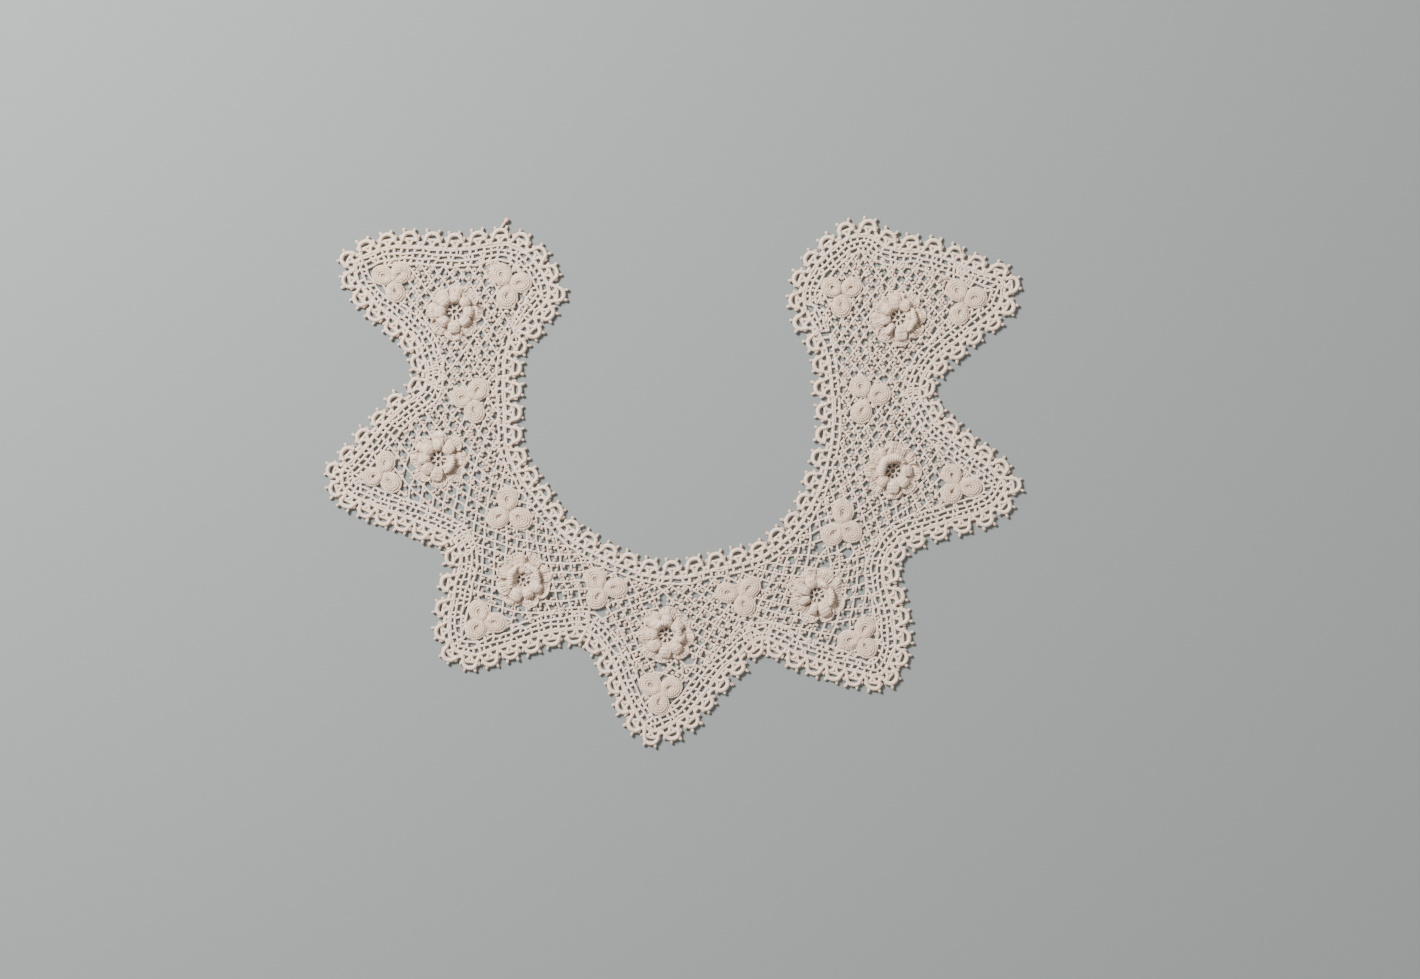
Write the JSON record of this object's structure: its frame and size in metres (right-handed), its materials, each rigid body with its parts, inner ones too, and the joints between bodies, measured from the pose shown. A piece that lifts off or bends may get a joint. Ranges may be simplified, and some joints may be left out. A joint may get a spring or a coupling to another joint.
{
  "type": "lace collar",
  "caption": "Irish crochet collar laid flat: picot net set with raised roses and shamrocks, plain border rounds and a scalloped picot edging.",
  "frame": {"origin": "on the surface that the collar lies on, under the middle of its box", "axes": "+Z up from the surface, +Y towards the two ends that meet at the back of the neck, +X to the right seen from above with +Y up"},
  "size_m": [0.3156, 0.24, 0.0035],
  "materials": {
    "net_cotton": "ecru crochet cotton, matt, slightly uneven with age",
    "edging_cotton": "ecru crochet cotton, matt, a little darker at the picots",
    "rose_cotton": "cream crochet cotton, matt, raised stitches",
    "shamrock_cotton": "cream crochet cotton, matt, coiled stitches"
  },
  "bodies": {
    "root": {"ground_net": "net_cotton", "border_band_neck": "net_cotton", "border_band_outer": "net_cotton", "edging_neck_left": "edging_cotton", "edging_neck_front": "edging_cotton", "edging_neck_right": "edging_cotton", "edging_end_right": "edging_cotton", "edging_point_7_low": "edging_cotton", "edging_point_6_up": "edging_cotton", "edging_point_6_low": "edging_cotton", "edging_point_5_side": "edging_cotton", "edging_point_5_low": "edging_cotton", "edging_point_4_right": "edging_cotton", "edging_point_4_left": "edging_cotton", "edging_point_3_low": "edging_cotton", "edging_point_3_side": "edging_cotton", "edging_point_2_low": "edging_cotton", "edging_point_2_up": "edging_cotton", "edging_point_1_low": "edging_cotton", "edging_end_left": "edging_cotton", "rose_1_petals": "rose_cotton", "rose_1_heart": "rose_cotton", "rose_1_wheel": "rose_cotton", "rose_2_petals": "rose_cotton", "rose_2_heart": "rose_cotton", "rose_2_wheel": "rose_cotton", "rose_3_petals": "rose_cotton", "rose_3_heart": "rose_cotton", "rose_3_wheel": "rose_cotton", "rose_4_petals": "rose_cotton", "rose_4_heart": "rose_cotton", "rose_4_wheel": "rose_cotton", "rose_5_petals": "rose_cotton", "rose_5_heart": "rose_cotton", "rose_5_wheel": "rose_cotton", "rose_6_petals": "rose_cotton", "rose_6_heart": "rose_cotton", "rose_6_wheel": "rose_cotton", "rose_7_petals": "rose_cotton", "rose_7_heart": "rose_cotton", "rose_7_wheel": "rose_cotton", "shamrock_a": "shamrock_cotton", "shamrock_b": "shamrock_cotton", "shamrock_c": "shamrock_cotton", "shamrock_d": "shamrock_cotton", "shamrock_e": "shamrock_cotton", "shamrock_f": "shamrock_cotton", "shamrock_g": "shamrock_cotton", "shamrock_h": "shamrock_cotton", "shamrock_i": "shamrock_cotton", "shamrock_j": "shamrock_cotton", "shamrock_k": "shamrock_cotton", "shamrock_l": "shamrock_cotton", "shamrock_m": "shamrock_cotton", "shamrock_n": "shamrock_cotton", "shamrock_o": "shamrock_cotton"}
  },
  "joints": []
}
